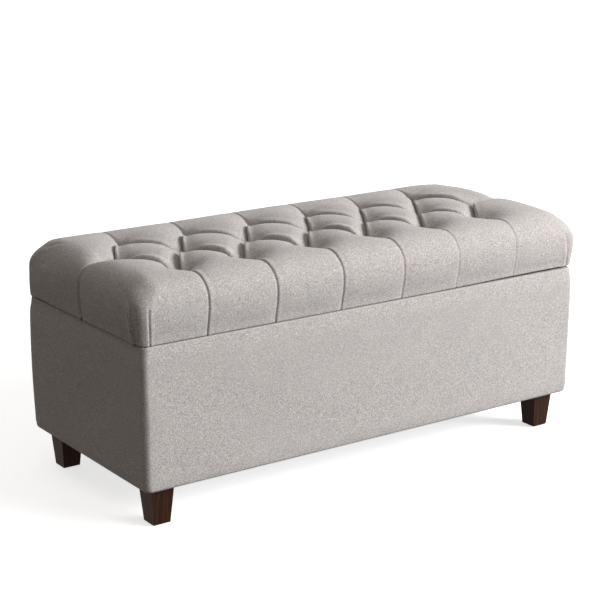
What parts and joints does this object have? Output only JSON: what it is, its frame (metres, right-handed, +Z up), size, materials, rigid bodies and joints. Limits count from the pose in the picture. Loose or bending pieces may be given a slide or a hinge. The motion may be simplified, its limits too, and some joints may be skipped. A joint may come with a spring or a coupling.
{
  "type": "storage bench",
  "caption": "Upholstered storage bench: fabric-covered box on tapered wooden legs under a deep-tufted padded lid that swings up on butt hinges and slotted stays.",
  "frame": {"origin": "on the floor under the middle of the bench, the centre of its footprint", "axes": "+X along the width to the right as seen from the front, +Y from the front to the hinged back, +Z up"},
  "size_m": [1.077, 0.472, 0.486],
  "materials": {
    "upholstery": "matte",
    "lining": "matte",
    "dust_cloth": "matte",
    "plywood": "matte",
    "pine": "matte",
    "leg_wood": "satin",
    "foam": "matte",
    "batting": "matte",
    "glide_plastic": "matte",
    "bumper_rubber": "matte",
    "twine": "matte",
    "zinc_steel": "satin"
  },
  "bodies": {
    "base": {"front_panel": "plywood", "back_panel": "plywood", "left_end_panel": "plywood", "right_end_panel": "plywood", "bottom_panel": "plywood", "floor_cleat_front": "pine", "floor_cleat_back": "pine", "floor_cleat_left": "pine", "floor_cleat_right": "pine", "corner_block_front_left": "pine", "corner_block_front_right": "pine", "corner_block_back_left": "pine", "corner_block_back_right": "pine", "base_padding_front": "foam", "base_padding_back": "foam", "base_padding_left": "foam", "base_padding_right": "foam", "base_cover": "upholstery", "storage_liner": "lining", "base_dust_cover": "dust_cloth", "base_staples": "zinc_steel", "leg_front_left": "leg_wood", "leg_front_right": "leg_wood", "leg_back_left": "leg_wood", "leg_back_right": "leg_wood", "leg_glides": "glide_plastic", "hanger_bolts": "zinc_steel", "t_nuts": "zinc_steel", "panel_screws": "zinc_steel", "cleat_screws": "zinc_steel", "lid_bumpers": "bumper_rubber", "base_hinge_leaf_left": "zinc_steel", "base_hinge_leaf_right": "zinc_steel", "base_hinge_screws": "zinc_steel", "hinge_pins": "zinc_steel", "stay_pins": "zinc_steel"},
    "lid": {"lid_board": "plywood", "lid_foam": "foam", "lid_batting": "batting", "lid_cover": "upholstery", "lid_dust_cover": "dust_cloth", "lid_staples": "zinc_steel", "tuft_twines": "twine", "tuft_washers": "zinc_steel", "lid_hinge_leaf_left": "zinc_steel", "lid_hinge_leaf_right": "zinc_steel", "lid_hinge_screws": "zinc_steel", "stay_bracket_left": "zinc_steel", "stay_bracket_right": "zinc_steel", "stay_bracket_screws": "zinc_steel", "stay_rivets": "zinc_steel"},
    "stay_left": {"stay_arm_left": "zinc_steel"},
    "stay_right": {"stay_arm_right": "zinc_steel"}
  },
  "joints": [
    {"name": "lid_hinge", "type": "hinge", "parent": "base", "child": "lid", "pos_m": [0, 0.233, 0.366], "axis": [-1, 0, 0], "range_deg": [0, 90]},
    {"name": "stay_left_pivot", "type": "hinge", "parent": "lid", "child": "stay_left", "pos_m": [-0.5065, 0.10858, 0.35402], "axis": [-1, 0, 0], "range_deg": [-45, 0]},
    {"name": "stay_right_pivot", "type": "hinge", "parent": "lid", "child": "stay_right", "pos_m": [0.5065, 0.10858, 0.35402], "axis": [-1, 0, 0], "range_deg": [-45, 0]}
  ],
  "couplings": [
    {"joint": "stay_left_pivot", "follows": "lid_hinge", "ratio": -0.5},
    {"joint": "stay_right_pivot", "follows": "lid_hinge", "ratio": -0.5}
  ]
}
